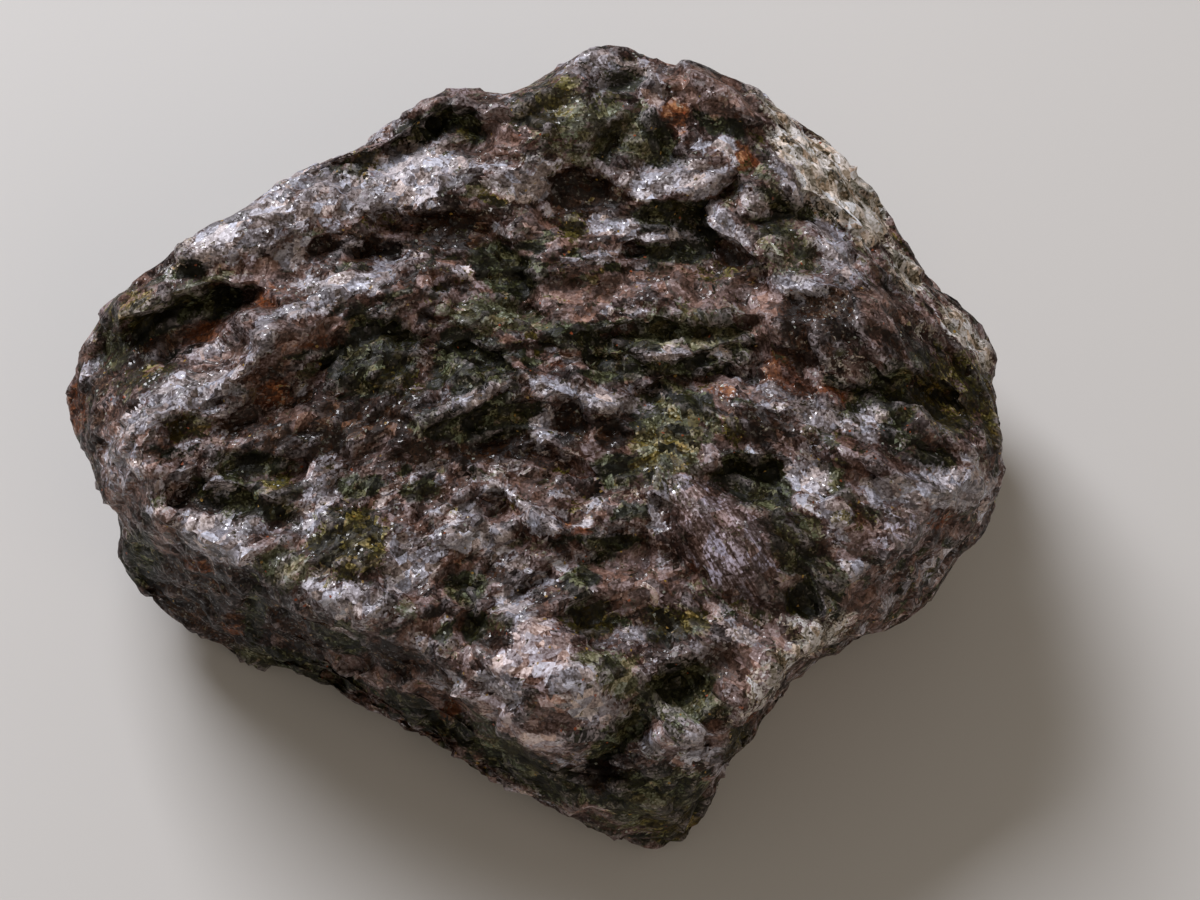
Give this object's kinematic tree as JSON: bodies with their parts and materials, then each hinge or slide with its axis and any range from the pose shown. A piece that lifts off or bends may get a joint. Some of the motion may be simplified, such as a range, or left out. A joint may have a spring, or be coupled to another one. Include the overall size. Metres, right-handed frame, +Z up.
{
  "type": "raw merlinite stone",
  "caption": "Hand-sized rough lump of dark speckled gabbro with broken, ledged faces, lying on its flattest side.",
  "frame": {"origin": "middle of the stone's footprint, on the surface it lies on", "axes": "+X across the stone to its right end, +Y to the back, +Z up; the broad rough face looks up and a little to the front"},
  "size_m": [0.0614, 0.0484, 0.0282],
  "materials": {
    "gabbro": "raw broken surface: mauve-grey feldspar with dark green and brown hornblende, fine glints on the crystal faces"
  },
  "bodies": {
    "root": {"stone": "gabbro"}
  },
  "joints": []
}
